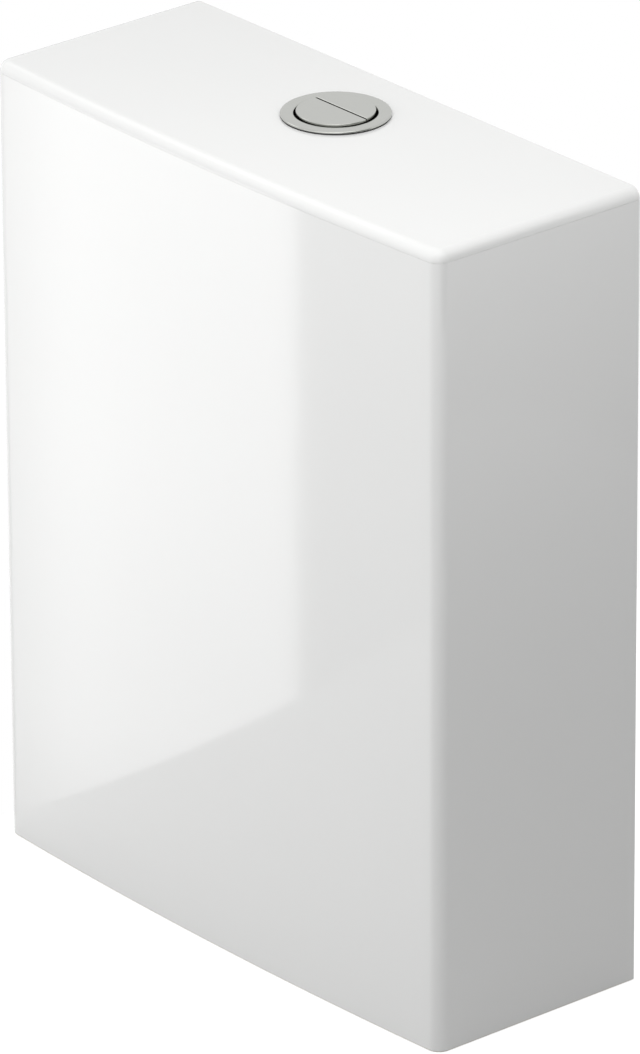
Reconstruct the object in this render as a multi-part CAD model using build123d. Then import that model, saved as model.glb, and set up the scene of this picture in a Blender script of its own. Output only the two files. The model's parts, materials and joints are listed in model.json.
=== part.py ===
from build123d import *
import math
import os

# Toilet cistern, in millimetres. +Z is up, the front faces -Y, and the origin
# is the middle of the footprint on the plane that the tank's rim stands on.

# Shared clearances
overrun = 1.0          # how far a cutting shape runs past the face that it cuts
rest_gap = 0.3         # between pieces that move against each other, at rest
slide_gap = 0.5        # around a piece that slides
thread_gap = 0.1       # between a nut and its thread
run_gap = 0.06         # between a pin and what turns on it
hole_gap = 2.0         # around a fitting that passes through the ceramic

# Ceramic shell
width = 400.0
side_depth = 152.0
front_bow = 6.0
height = 503.0
wall = 9.5
corner_r = 8.0
inner_corner_r = 12.0
base_edge_r = 1.0
rim_edge_r = 1.5
floor_low = 52.0
floor_t = 12.0
floor_fillet = 8.0

# Lid
top_edge_r = 6.5
lid_land = 0.5
seam_gap = 0.3
lid_step_t = 3.5
lid_rib_h = 6.5
lid_rib_t = 7.0
lid_fit = 2.0
pad_r = 3.0
pad_seat_t = 1.2
pad_gap = 0.3
pad_place_shares = [(-0.4, -1), (0.4, -1), (-0.4, 1), (0.4, 1)]

# Holes in the back wall for screws to the room's wall
wall_hole_r = 4.5
wall_hole_spacing = 220.0
wall_hole_drop = 66.0    # from the lid's seam to the holes

# Fittings' places
valve_setback = 58.0    # from the back face to the flush valve's axis
bolt_spacing = 150.0
inlet_place_share = 0.325

# Button
button_r = 23.4
button_gap = 1.2
split_offset = 3.8
split_gap = 0.6
full_proud = 3.2
half_proud = 3.6
button_top_t = 2.0
button_skirt_h = 8.0
button_skirt_t = 1.4
button_edge_r = 0.7
button_travel = 5.0
bezel_r = 32.6
bezel_proud = 2.0
bezel_edge_r = 0.85
bezel_inner_edge_r = 0.4
bezel_neck_t = 2.0
bezel_neck_h = 28.0
gasket_t = 1.0
gasket_inset = 0.2
lid_hole_gap = 1.0
lock_nut_t = 7.4
lock_nut_h = 8.0
lock_nut_lug = 2.5
lock_nut_lug_w = 8.0
lock_nut_lugs = 6
guide_t = 2.5
guide_sleeve_t = 1.6
guide_sleeve_h = 7.0
guide_vent_r = 4.0

# Push rods and button springs
rod_r = 3.0
rod_x = 7.0
rod_y = 14.0
rod_socket_r = 4.8
rod_socket_h = 7.0
rod_hold = 5.0
spring_r = 4.25
spring_wire_r = 0.5
spring_turns = 5

# Threads are plain: full size where they are free, their mean size inside a nut
free_end_gap = 1.0      # from a free thread's end to the nut or ring above it

# Flush valve: base and seat
tail_r = 29.8
tail_core_r = 29.1
tail_bore_r = 25.0
tail_low = 10.0
tail_chamfer = 1.0
base_flange_r = 40.0
base_flange_t = 4.0
base_washer_r = 39.5
base_washer_t = 3.0
seat_r = 29.0
seat_t = 2.5
seat_h = 3.0
back_nut_r = 36.5
back_nut_h = 10.0
back_nut_lug = 3.5
back_nut_lug_w = 9.0
back_nut_lugs = 8
gasket_r = 39.0
gasket_h = 16.0
gasket_edge_r = 4.0

# Flush valve: cage and the frame above it
cage_r = 36.5
cage_t = 2.5
cage_foot_r = 39.5
cage_foot_h = 4.0
cage_h = 130.0
cage_windows = 6
window_h = 38.0
window_w = 26.0
slot_low = 62.0
slot_h = 46.0
slot_w = 9.0
cage_top_t = 4.0
rail_x = 30.0
rail_t = 4.0
rail_w = 12.0
rail_notch = 1.0
rail_notch_h = 3.0
bridge_overhang = 3.0
bridge_drop = 126.0     # from the lid's seam to the bridge's underside
bridge_t = 4.0
bridge_w = 24.0
cheek_t = 2.8
cheek_w = 15.0
cheek_h = 20.0
centre_cheek_t = 6.0
pin_h = 14.0            # pin's axis above the bridge plate
pin_r = 2.0
pin_overhang = 1.2

# Rockers
rocker_w = 6.0
rocker_t = 6.0
rocker_hub_r = 5.0
rocker_push_reach = 4.0
rocker_lift_reach = 4.0
lift_arm = 24.0
lift_gap = 0.4

# Moving tube with its seal, float and yoke
tube_r = 15.0
tube_bore_r = 13.2
tube_top_gap = 18.0     # from the tube's end to the bridge
seal_r = 31.5
seal_t = 4.0
foot_r = 24.0
foot_t = 3.0
retainer_r = 22.0
retainer_t = 4.0
float_r = 31.0
float_t = 2.0
float_rise = 47.0       # float's underside above the base
float_h = 50.0
yoke_drop = 16.0        # from the tube's end to the lower yoke's underside
yoke_h = 6.0
yoke_ring_t = 4.0
yoke_arm_t = 4.0
yoke_post_x = 17.0
yoke_post_w = 4.0
yoke_bar_r = 2.5

# Half-flush float on its rail beside the cage
half_float_x = 56.0
half_float_r = 13.0
half_float_h = 36.0
half_float_t = 2.0
half_float_travel = 25.0
half_rail_r = 2.5
half_rail_rise = 61.0   # rail's underside above the base
half_bracket_t = 4.0
half_bracket_w = 8.0

# Fill valve: shank, riser and sleeve
shank_r = 10.5
shank_core_r = 9.9
shank_bore_r = 5.5
shank_low = 14.0
inlet_flange_r = 17.0
inlet_flange_t = 3.0
inlet_washer_t = 3.0
inlet_nut_flats = 30.0
inlet_nut_h = 8.0
shank_body_r = 12.0
shank_body_share = 0.51
riser_r = 9.0
riser_bore_r = 6.5
riser_low_share = 0.33
clamp_r = 15.0
clamp_h = 12.0
clamp_grips = 8
clamp_grip_r = 1.6
sleeve_r = 14.0
sleeve_t = 1.5
sleeve_tail_share = 0.28
stop_drop = 104.0       # from the head's underside to the float's stop
stop_t = 3.0
stop_r = 19.0

# Fill valve: head, cap and lever
head_drop = 166.0       # from the lid's seam to the head's underside
head_r = 17.0
head_h = 22.0
head_socket_h = 8.0
spout_r = 4.0
spout_drop = 6.0
diaphragm_t = 2.0
diaphragm_r = 15.0
cap_h = 10.0
cap_grips = 12
cap_grip_r = 1.2
ear_w = 3.0
ear_gap = 0.5
ear_r = 5.0
lever_back = 10.0       # from the head's axis to the lever's pivot
lever_arm = 50.0
lever_w = 9.0
lever_t = 5.0
lever_hub_r = 4.5
lever_end_reach = 7.0
lever_rise = 8.0        # pivot above the cap
lever_pin_r = 1.5
lever_pin_overhang = 1.0
lever_slot_w = 5.0
lever_slot_l = 8.0

# Fill valve: float and link
cup_r = 32.0
cup_t = 2.0
cup_gap = 1.0
cup_h = 60.0
cup_travel = 10.0
cup_lug_r = 5.0
link_r = 2.0
link_collar_r = 4.5
link_collar_t = 2.0
link_gap = 0.9
link_tip = 6.0

# Inlet filter
filter_r = 5.2
filter_t = 1.2
filter_h = 24.0
filter_slots = 6
filter_slot_w = 1.6
filter_slot_h = 14.0
filter_cap_t = 2.0

# Coupling bolts to the pan, and the plug in the second inlet hole
bolt_r = 4.0
bolt_core_r = 3.6
bolt_low = 12.0
bolt_tip = 0.7
bolt_head_flats = 13.0
bolt_head_h = 5.3
bolt_seal_r = 11.0
bolt_seal_t = 3.0
bolt_washer_r = 10.0
bolt_washer_t = 1.5
wing_hub_r = 7.5
wing_hub_h = 8.5
wing_reach = 17.0
wing_t = 3.0
wing_h = 13.0
wing_edge_r = 5.0
plug_low = 30.0

# Places that follow from the sizes above
back_y = (side_depth + front_bow) / 2
front_radius = ((width / 2) ** 2 + front_bow ** 2) / (2 * front_bow)
front_centre_y = front_radius - back_y
lid_low = height - top_edge_r - lid_land
rim_z = lid_low - seam_gap
floor_z = floor_low + floor_t
valve_y = back_y - valve_setback
inlet_x = -inlet_place_share * width
lid_under = lid_low - lid_step_t
bore_r = button_r + button_gap
neck_r = bore_r + bezel_neck_t
neck_low = height + gasket_t - bezel_neck_h
full_rod_y = valve_y - rod_y
half_rod_y = valve_y + rod_y
seat_z = floor_z + base_washer_t + base_flange_t
seal_z = seat_z + seat_h
cage_top = seat_z + cage_h
float_low = seat_z + float_rise
half_rail_low = seat_z + half_rail_rise
wall_hole_z = lid_low - wall_hole_drop
bridge_low = lid_low - bridge_drop
bridge_top = bridge_low + bridge_t
tube_top = bridge_low - tube_top_gap
yoke_low = tube_top - yoke_drop
pin_z = bridge_top + pin_h
rocker_turn = math.degrees(button_travel / rod_y)
rocker_tilt = rocker_turn / 2
head_low = lid_low - head_drop
stop_low = head_low - stop_drop
shank_z = floor_z + inlet_washer_t + inlet_flange_t
shank_body_top = shank_z + shank_body_share * (stop_low - shank_z)
riser_low = shank_z + riser_low_share * (shank_body_top - shank_z)
sleeve_low = stop_low - sleeve_tail_share * (stop_low - shank_z)
lever_x = inlet_x - lever_back
link_x = lever_x + lever_arm
cap_low = head_low + head_h + diaphragm_t
cap_top = cap_low + cap_h
lever_z = cap_top + lever_rise
lever_turn = math.degrees(cup_travel / lever_arm)
lever_tilt = lever_turn / 2
link_z = lever_z - lever_arm * math.sin(math.radians(lever_tilt))
cup_low = stop_low + stop_t + rest_gap
rocker_rise = rocker_t / 2 / math.cos(math.radians(rocker_tilt))
rocker_slope = math.tan(math.radians(rocker_tilt))


# Simple forms

def bar(radius, low, high, x=0.0, y=0.0):
    """Round upright bar between two heights."""
    return Pos(x, y, (low + high) / 2) * Cylinder(radius, high - low)


def sleeve(outer, inner, low, high, x=0.0, y=0.0):
    """Upright tube between two heights."""
    return bar(outer, low, high, x, y) - bar(inner, low - overrun, high + overrun, x, y)


def block(x_span, y_span, z_span):
    """Rectangular block between three pairs of planes."""
    spans = (x_span, y_span, z_span)
    centre = [(low + high) / 2 for low, high in spans]
    return Pos(*centre) * Box(*[high - low for low, high in spans])


def both_ways(half):
    """Span that reaches as far below zero as above it."""
    return (-half, half)


def about(middle, size):
    """Span of one size about its middle."""
    return (middle - size / 2, middle + size / 2)


def cross_bar(radius, x_span, y, z):
    """Round bar that lies along X."""
    low, high = x_span
    return Pos((low + high) / 2, y, z) * Rot(0, 90, 0) * Cylinder(radius, high - low)


def depth_bar(radius, y_span, x, z):
    """Round bar that lies along Y."""
    low, high = y_span
    return Pos(x, (low + high) / 2, z) * Rot(90, 0, 0) * Cylinder(radius, high - low)


def hex_bar(flats, low, high, x, y):
    """Upright hexagon bar, measured across its flats."""
    outline = Pos(x, y, low) * RegularPolygon(flats / 2, 6, major_radius=False)
    return extrude(outline, high - low)


def around(piece, count, x=0.0, y=0.0):
    """Copies of a piece that is drawn about the Z axis, set in a ring about a point."""
    copies = [Pos(x, y, 0) * Rot(0, 0, turn * 360 / count) * piece for turn in range(count)]
    ring = copies[0]
    for copy in copies[1:]:
        ring += copy
    return ring


def fused(pieces):
    """One shape of several pieces."""
    whole = pieces[0]
    for piece in pieces[1:]:
        whole += piece
    return whole


def footprint(inset, radius):
    """Plan of the cistern, drawn in by a wall: straight back and sides, bowed front."""
    half = width / 2 - inset
    arc = front_radius - inset
    side_y = front_centre_y - math.sqrt(arc ** 2 - half ** 2)
    rear = back_y - inset
    outline = [
        Line((-half, side_y), (-half, rear)),
        Line((-half, rear), (half, rear)),
        Line((half, rear), (half, side_y)),
        ThreePointArc((half, side_y), (0, front_centre_y - arc), (-half, side_y)),
    ]
    face = make_face(outline)
    corners = face.vertices().sort_by(Axis.Y)
    rounded = corners[:2] if inset == 0 else corners
    return fillet(rounded, radius)


def filleted_floor(solid, radius, lowest):
    """A solid with the edges of its lowest or highest face rounded."""
    end = solid.faces().sort_by(Axis.Z)[0 if lowest else -1]
    return fillet(end.edges(), radius)


# Ceramic shell and lid

def pad_places():
    """Centres of the lid pads, in the middle of the tank's rim."""
    places = []
    for share, side in pad_place_shares:
        x = share * width
        front_y = front_centre_y - math.sqrt(front_radius ** 2 - x ** 2)
        places.append((x, front_y + wall / 2 if side < 0 else back_y - wall / 2))
    return places


def tank():
    """Ceramic body: an open basin over a skirt that hides the fixings."""
    shell = extrude(footprint(0, corner_r), rim_z)
    shell = filleted_floor(shell, base_edge_r, True)
    basin = extrude(Pos(0, 0, floor_z) * footprint(wall, inner_corner_r), rim_z + overrun - floor_z)
    recess = extrude(Pos(0, 0, -overrun) * footprint(wall, inner_corner_r), floor_low + overrun)
    shell = shell - filleted_floor(basin, floor_fillet, True) - filleted_floor(recess, floor_fillet, False)
    rim = shell.faces().sort_by(Axis.Z)[-1]
    shell = fillet(rim.inner_wires()[0].edges(), rim_edge_r)
    low, high = floor_low - overrun, floor_z + overrun
    shell -= bar(tail_r + hole_gap, low, high, 0, valve_y)
    for side in (-1, 1):
        shell -= bar(bolt_r + hole_gap / 2, low, high, side * bolt_spacing / 2, valve_y)
        shell -= bar(shank_r + hole_gap, low, high, side * inlet_x, valve_y)
        through = (back_y - wall - overrun, back_y + overrun)
        shell -= depth_bar(wall_hole_r, through, side * wall_hole_spacing / 2, wall_hole_z)
    for x, y in pad_places():
        shell -= bar(pad_r + pad_gap, rim_z - pad_seat_t, rim_z + overrun, x, y)
    return shell


def lid():
    """Ceramic cover whose whole edge is the rounded top edge."""
    plate = extrude(Pos(0, 0, lid_low) * footprint(0, corner_r), height - lid_low)
    top = plate.faces().sort_by(Axis.Z)[-1]
    rounded = top.edges().sort_by(Axis.Y)[:-1]
    plate = fillet(rounded, top_edge_r)
    inset = wall + lid_fit
    radius = inner_corner_r - lid_fit
    step = extrude(Pos(0, 0, lid_under) * footprint(inset, radius), lid_step_t)
    rib_low = lid_under - lid_rib_h
    rib = extrude(Pos(0, 0, rib_low) * footprint(inset, radius), lid_rib_h)
    hollow = extrude(Pos(0, 0, rib_low - overrun) * footprint(inset + lid_rib_t, radius), lid_rib_h + overrun)
    cover = plate + step + (rib - hollow)
    return cover - bar(neck_r + lid_hole_gap, rib_low, height + overrun, 0, valve_y)


def lid_pads():
    """Four soft pads let into the rim, which the lid rests on."""
    return fused([bar(pad_r, rim_z - pad_seat_t, lid_low, x, y) for x, y in pad_places()])


# Button in the lid

def bezel_gasket():
    """Black ring between the bezel and the glaze."""
    return sleeve(bezel_r - gasket_inset, neck_r + run_gap, height, height + gasket_t, 0, valve_y)


def button_bezel():
    """Metal ring with a rounded lip and a neck through the lid."""
    low = height + gasket_t
    high = height + bezel_proud
    ring = bar(bezel_r, low, high, 0, valve_y)
    ring = fillet(ring.edges().sort_by(Axis.Z)[-1], bezel_edge_r)
    ring += bar(neck_r, neck_low, low, 0, valve_y)
    ring -= bar(bore_r, neck_low - overrun, high + overrun, 0, valve_y)
    mouth = ring.edges().filter_by(GeomType.CIRCLE).group_by(Axis.Z)[-1].sort_by(SortBy.RADIUS)[0]
    return fillet(mouth, bezel_inner_edge_r)


def button_half(front):
    """Plan of one button segment, cut off along the split."""
    cut_y = split_offset - split_gap / 2 if front else split_offset + split_gap / 2
    span = (-2 * button_r, cut_y) if front else (cut_y, 2 * button_r)
    return block(both_ways(2 * button_r), span, both_ways(2 * height))


def flush_button(front, proud, rod_place):
    """Button segment: a flat top with a skirt, and a socket for its push rod."""
    top = height + proud
    low = top - button_top_t - button_skirt_h
    cap = bar(button_r, low, top) & button_half(front)
    edge = cap.faces().sort_by(Axis.Z)[-1].edges()
    cap = fillet(edge, button_edge_r)
    inner = bar(button_r - button_skirt_t, low - overrun, top - button_top_t)
    shift = -button_skirt_t if front else button_skirt_t
    cap -= inner & (Pos(0, shift, 0) * button_half(front))
    cap = Pos(0, valve_y, 0) * cap
    x, y = rod_place
    socket_low = top - button_top_t - rod_socket_h
    socket = bar(rod_socket_r, socket_low, top - button_top_t, x, y)
    hold = bar(rod_r + thread_gap, socket_low - overrun, socket_low + rod_hold, x, y)
    return cap + socket - hold


def push_rod(proud, rod_place):
    """Screwed rod from the button down to its rocker, with a domed foot."""
    x, y = rod_place
    top = height + proud - button_top_t - rod_socket_h + rod_hold
    reach = rod_y * rocker_slope + rocker_rise
    foot = pin_z + reach + (rod_r + rest_gap) / math.cos(math.radians(rocker_tilt))
    return bar(rod_r, foot, top, x, y) + Pos(x, y, foot) * Sphere(rod_r)


def button_guide():
    """Plate across the neck's foot, with a sleeve for each push rod."""
    low = neck_low - guide_t
    plate = bar(neck_r, low, neck_low, 0, valve_y)
    for x, y in ((-rod_x, full_rod_y), (rod_x, half_rod_y)):
        plate += bar(rod_r + slide_gap + guide_sleeve_t, low - guide_sleeve_h, neck_low, x, y)
        plate -= bar(rod_r + slide_gap, low - guide_sleeve_h - overrun, neck_low + overrun, x, y)
    for side in (-1, 1):
        plate -= bar(guide_vent_r, low - overrun, neck_low + overrun, side * button_r / 2, valve_y)
    return plate


def lid_lock_nut():
    """Ring nut under the lid, with finger lugs."""
    low = lid_under - lock_nut_h
    outer = neck_r + thread_gap + lock_nut_t
    ring = bar(outer, low, lid_under)
    lug = block((outer - lock_nut_t / 2, outer + lock_nut_lug), both_ways(lock_nut_lug_w / 2), (low, lid_under))
    ring += around(lug, lock_nut_lugs)
    ring -= bar(neck_r + thread_gap, low - overrun, lid_under + overrun)
    return Pos(0, valve_y, 0) * ring


def biarc(start, start_way, end, end_way):
    """Two arcs that join two points and follow a given way at both."""
    span = end - start
    both = start_way + end_way
    bend = 2 * (1 - start_way.dot(end_way))
    along = span.dot(both)
    reach = (math.sqrt(along ** 2 + bend * span.dot(span)) - along) / bend
    first = start + start_way * reach
    second = end - end_way * reach
    middle = (first + second) * 0.5
    middle_way = (second - first).normalized()
    return [TangentArc(start, middle, tangent=start_way), TangentArc(middle, end, tangent=middle_way)]


def button_spring(proud, rod_place):
    """Helical spring around a push rod: one wire on biarcs of a quarter turn."""
    x, y = rod_place
    low = neck_low + spring_wire_r + rest_gap
    high = height + proud - button_top_t - rod_socket_h - spring_wire_r - rest_gap
    rise = (high - low) / (4 * spring_turns)

    def place(step):
        turn = math.radians(90 * step)
        return Vector(x + spring_r * math.cos(turn), y + spring_r * math.sin(turn), low + rise * step)

    def way(step):
        turn = math.radians(90 * step)
        climb = rise / math.radians(90)
        return Vector(-spring_r * math.sin(turn), spring_r * math.cos(turn), climb).normalized()

    arcs = []
    for step in range(4 * spring_turns):
        arcs += biarc(place(step), way(step), place(step + 1), way(step + 1))
    path = Wire(arcs)
    section = Plane(origin=place(0), z_dir=way(0)) * Circle(spring_wire_r)
    print("least gap between spring turns", round(4 * rise - 2 * spring_wire_r, 2))
    return sweep(section, path)


# Flush valve

def flush_valve_base():
    """Threaded tail, flange and raised seat of the flush valve."""
    low = floor_z + base_washer_t
    free_top = floor_low - back_nut_h - gasket_h - free_end_gap
    tail = bar(tail_r, tail_low, free_top, 0, valve_y)
    tail = chamfer(tail.edges().sort_by(Axis.Z)[0], tail_chamfer)
    base = tail + bar(tail_core_r, free_top, low, 0, valve_y) + bar(base_flange_r, low, seat_z, 0, valve_y)
    base += bar(seat_r, seat_z, seal_z, 0, valve_y)
    base -= bar(tail_bore_r, tail_low - overrun, seal_z + overrun, 0, valve_y)
    return base - bar(seat_r - seat_t, seat_z, seal_z + overrun, 0, valve_y)


def base_seal_washer():
    """Rubber washer between the flange and the tank's floor."""
    return sleeve(base_washer_r, tail_core_r + thread_gap, floor_z, floor_z + base_washer_t, 0, valve_y)


def back_nut():
    """Lugged nut that draws the valve down from under the floor."""
    low = floor_low - back_nut_h
    lug = block((back_nut_r - back_nut_lug, back_nut_r + back_nut_lug), both_ways(back_nut_lug_w / 2), (low, floor_low))
    ring = bar(back_nut_r, low, floor_low) + around(lug, back_nut_lugs)
    ring -= bar(tail_core_r + thread_gap, low - overrun, floor_low + overrun)
    return Pos(0, valve_y, 0) * ring


def doughnut_gasket():
    """Thick foam ring that seals the tail to the pan."""
    high = floor_low - back_nut_h
    ring = sleeve(gasket_r, tail_core_r + rest_gap, high - gasket_h, high, 0, valve_y)
    rims = ring.edges().filter_by(GeomType.CIRCLE).sort_by(SortBy.RADIUS)[-2:]
    return fillet(rims, gasket_edge_r)


def valve_cage():
    """Slotted tube that guides the float, with the half-flush float's rail."""
    wall_tube = bar(cage_r, seat_z, cage_top) + bar(cage_foot_r, seat_z, seat_z + cage_foot_h)
    wall_tube -= bar(cage_r - cage_t, seat_z - overrun, cage_top - cage_top_t)
    wall_tube -= bar(tube_r + slide_gap, seat_z, cage_top + overrun)
    reach = (cage_r - 2 * cage_t, cage_foot_r + overrun)
    window_low = seat_z + cage_foot_h
    window = block(reach, both_ways(window_w / 2), (window_low, window_low + window_h))
    slot = block(reach, both_ways(slot_w / 2), (seat_z + slot_low, seat_z + slot_low + slot_h))
    wall_tube -= around(window, cage_windows)
    wall_tube -= around(Rot(0, 0, 180 / cage_windows) * slot, cage_windows)
    rail_high = half_rail_low + 2 * half_bracket_t + half_float_h + half_float_travel + 2 * rest_gap
    rail = bar(half_rail_r, half_rail_low, rail_high, half_float_x, 0)
    for low in (half_rail_low, rail_high - half_bracket_t):
        across = (cage_r - cage_t, half_float_x)
        rail += block(across, both_ways(half_bracket_w / 2), (low, low + half_bracket_t))
        rail += bar(half_bracket_w / 2, low, low + half_bracket_t, half_float_x, 0)
    return Pos(0, valve_y, 0) * (wall_tube + rail)


def height_rails():
    """Two notched rails that carry the bridge above the cage."""
    rails = []
    notches = int((bridge_low - cage_top) / (4 * rail_notch_h)) - 1
    for side in (-1, 1):
        rail = block(about(side * rail_x, rail_t), about(valve_y, rail_w), (cage_top, bridge_low))
        for step in range(notches):
            low = cage_top + (4 * step + 3) * rail_notch_h
            for edge in (-1, 1):
                place = about(valve_y + edge * rail_w / 2, 2 * rail_notch)
                rail -= block(about(side * rail_x, 2 * rail_t), place, (low, low + rail_notch_h))
        rails.append(rail)
    return fused(rails)


def cheek_places():
    """Middle and thickness of the bridge's three cheeks, along X."""
    outer = rod_x + rocker_w / 2 + rest_gap + cheek_t / 2
    return [(-outer, cheek_t), (0.0, centre_cheek_t), (outer, cheek_t)]


def actuator_bridge():
    """Plate on the rails, with three cheeks that hold the rocker pin."""
    plate_x = rail_x + rail_t / 2 + bridge_overhang
    bridge = block(both_ways(plate_x), about(valve_y, bridge_w), (bridge_low, bridge_top))
    for x, thickness in cheek_places():
        bridge += block(about(x, thickness), about(valve_y, cheek_w), (bridge_top, bridge_top + cheek_h))
    return bridge - cross_bar(pin_r + thread_gap / 2, both_ways(plate_x), valve_y, pin_z)


def rocker_pin():
    """Steel pin that both rockers turn on."""
    half = cheek_places()[-1][0] + cheek_t / 2 + pin_overhang
    return cross_bar(pin_r, both_ways(half), valve_y, pin_z)


def rocker(x, push_side):
    """See-saw lever: the rod presses one end down and the other lifts the yoke."""
    push_end = push_side * (rod_y + rocker_push_reach)
    lift_end = -push_side * (lift_arm + rocker_lift_reach)
    span = (min(push_end, lift_end), max(push_end, lift_end))
    beam = block(both_ways(rocker_w / 2), span, both_ways(rocker_t / 2))
    beam += cross_bar(rocker_hub_r, both_ways(rocker_w / 2), 0, 0)
    beam -= cross_bar(pin_r + run_gap, both_ways(rocker_w), 0, 0)
    return Pos(x, valve_y, pin_z) * Rot(push_side * rocker_tilt, 0, 0) * beam


def overflow_tube():
    """Overflow tube with the flange that the seal is held under."""
    tube = bar(tube_r, seal_z - retainer_t, tube_top)
    tube += bar(foot_r, seal_z + seal_t, seal_z + seal_t + foot_t)
    tube -= bar(tube_bore_r, seal_z - retainer_t - overrun, tube_top + overrun)
    return Pos(0, valve_y, 0) * tube


def valve_seal():
    """Rubber disc that closes the seat."""
    return sleeve(seal_r, tube_r + thread_gap, seal_z, seal_z + seal_t, 0, valve_y)


def seal_retainer():
    """Ring nut that holds the seal from below."""
    return sleeve(retainer_r, tube_r + thread_gap, seal_z - retainer_t, seal_z, 0, valve_y)


def full_float():
    """Float on the tube: an open cup turned upside down."""
    top = float_low + float_h
    cup = bar(float_r, float_low, top) - bar(float_r - float_t, float_low - overrun, top - float_t)
    cup += bar(tube_r + thread_gap + float_t, float_low, top)
    return Pos(0, valve_y, 0) * (cup - bar(tube_r + thread_gap, float_low - overrun, top + overrun))


def lift_yoke(end, low, bore):
    """Collar on the tube, with two posts and the bar that one rocker lifts.

    The full flush's collar slides on the tube and pushes up the half flush's, which is fixed to it.
    """
    bar_z = pin_z - lift_arm * rocker_slope + rocker_rise
    bar_z += (yoke_bar_r + lift_gap) / math.cos(math.radians(rocker_tilt))
    yoke = bar(tube_r + slide_gap + yoke_ring_t, low, low + yoke_h)
    arm_reach = math.hypot(yoke_post_x, lift_arm)
    arm_turn = math.degrees(math.atan2(lift_arm, yoke_post_x))
    arm = block((tube_r, arm_reach), both_ways(yoke_arm_t / 2), (low, low + yoke_h / 2))
    for side in (-1, 1):
        flip = 180 if side < 0 else 0
        yoke += Rot(0, 0, flip + side * end * arm_turn) * arm
        post_x = about(side * yoke_post_x, yoke_post_w)
        post_y = about(end * lift_arm, yoke_post_w)
        yoke += block(post_x, post_y, (low, bar_z + yoke_bar_r))
    yoke += cross_bar(yoke_bar_r, both_ways(yoke_post_x), end * lift_arm, bar_z)
    yoke -= bar(bore, low - overrun, low + yoke_h + overrun)
    return Pos(0, valve_y, 0) * yoke


def half_float():
    """Small float cup that closes the valve early after a half flush."""
    low = half_rail_low + half_bracket_t + rest_gap
    high = low + half_float_h
    bore = half_rail_r + slide_gap
    cup = bar(half_float_r, low, high) - bar(half_float_r - half_float_t, low - overrun, high - half_float_t)
    cup += bar(bore + half_float_t, low, high)
    cup -= bar(bore, low - overrun, high + overrun)
    return Pos(half_float_x, valve_y, 0) * cup


# Fill valve

def inlet_tail(low):
    """Threaded tail with a flange, as on the inlet and on the plug."""
    free_top = floor_low - inlet_nut_h - free_end_gap
    flange_low = floor_z + inlet_washer_t
    tail = bar(shank_r, low, free_top)
    tail = chamfer(tail.edges().sort_by(Axis.Z)[0], tail_chamfer)
    return tail + bar(shank_core_r, free_top, flange_low) + bar(inlet_flange_r, flange_low, flange_low + inlet_flange_t)


def inlet_shank():
    """Inlet tail and the body tube that the riser slides into."""
    shank = inlet_tail(shank_low)
    shank += bar(shank_body_r, floor_z + inlet_washer_t, shank_body_top)
    shank -= bar(riser_r + thread_gap, riser_low - overrun, shank_body_top + overrun)
    shank -= bar(shank_bore_r, shank_low - overrun, shank_body_top)
    return Pos(inlet_x, valve_y, 0) * shank


def inlet_washer(side):
    """Rubber washer under an inlet flange."""
    return sleeve(inlet_flange_r, shank_core_r + thread_gap, floor_z, floor_z + inlet_washer_t, side * inlet_x, valve_y)


def inlet_nut(side):
    """Hexagon nut on an inlet tail, against the floor's underside."""
    x = side * inlet_x
    low = floor_low - inlet_nut_h
    thread = bar(shank_core_r + thread_gap, low - overrun, floor_low + overrun, x, valve_y)
    return hex_bar(inlet_nut_flats, low, floor_low, x, valve_y) - thread


def inlet_filter():
    """Slotted thimble in the inlet tail."""
    low = shank_low + tail_chamfer
    high = low + filter_h
    thimble = bar(filter_r, low, high) - bar(filter_r - filter_t, low - overrun, high - filter_cap_t)
    slot = block((0, 2 * filter_r), both_ways(filter_slot_w / 2), about((low + high) / 2, filter_slot_h))
    return Pos(inlet_x, valve_y, 0) * (thimble - around(slot, filter_slots))


def riser_tube():
    """Tube that carries the valve head at its set height."""
    return sleeve(riser_r, riser_bore_r, riser_low, head_low + head_socket_h, inlet_x, valve_y)


def riser_clamp():
    """Grip ring on top of the body tube."""
    low, high = shank_body_top, shank_body_top + clamp_h
    ring = bar(clamp_r, low, high)
    ring += around(bar(clamp_grip_r, low, high, clamp_r, 0), clamp_grips)
    ring -= bar(riser_r + thread_gap, low - overrun, high + overrun)
    return Pos(inlet_x, valve_y, 0) * ring


def silencer_tube():
    """Sleeve around the riser that leads the water down, with the float's stop."""
    ring = bar(sleeve_r, sleeve_low, head_low) + bar(stop_r, stop_low, stop_low + stop_t)
    ring -= bar(sleeve_r - sleeve_t, sleeve_low - overrun, head_low + overrun)
    return Pos(inlet_x, valve_y, 0) * ring


def valve_head():
    """Body of the fill valve on the riser, with its outlet spout."""
    high = head_low + head_h
    head = bar(head_r, head_low, high)
    head -= bar(riser_r + thread_gap, head_low - overrun, head_low + head_socket_h)
    head -= bar(riser_bore_r, head_low, high + overrun)
    spout = bar(spout_r, head_low - spout_drop, high - head_h / 2, -head_r - spout_r / 2, 0)
    return Pos(inlet_x, valve_y, 0) * (head + spout)


def diaphragm():
    """Rubber disc between the head and its cap."""
    return bar(diaphragm_r, head_low + head_h, cap_low, inlet_x, valve_y)


def head_cap():
    """Screwed cap with the two ears that hold the lever's pin."""
    cap = bar(head_r, cap_low, cap_top) + around(bar(cap_grip_r, cap_low, cap_top, head_r, 0), cap_grips)
    for side in (-1, 1):
        middle = side * (lever_w / 2 + ear_gap + ear_w / 2)
        span = about(middle, ear_w)
        cap += block(about(-lever_back, 2 * ear_r), span, (cap_top - overrun, lever_z))
        cap += depth_bar(ear_r, span, -lever_back, lever_z)
    cap -= depth_bar(lever_pin_r + thread_gap / 2, both_ways(head_r), -lever_back, lever_z)
    return Pos(inlet_x, valve_y, 0) * cap


def lever_pin():
    """Pin through the cap's ears."""
    half = lever_w / 2 + ear_gap + ear_w + lever_pin_overhang
    return depth_bar(lever_pin_r, (valve_y - half, valve_y + half), lever_x, lever_z)


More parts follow.
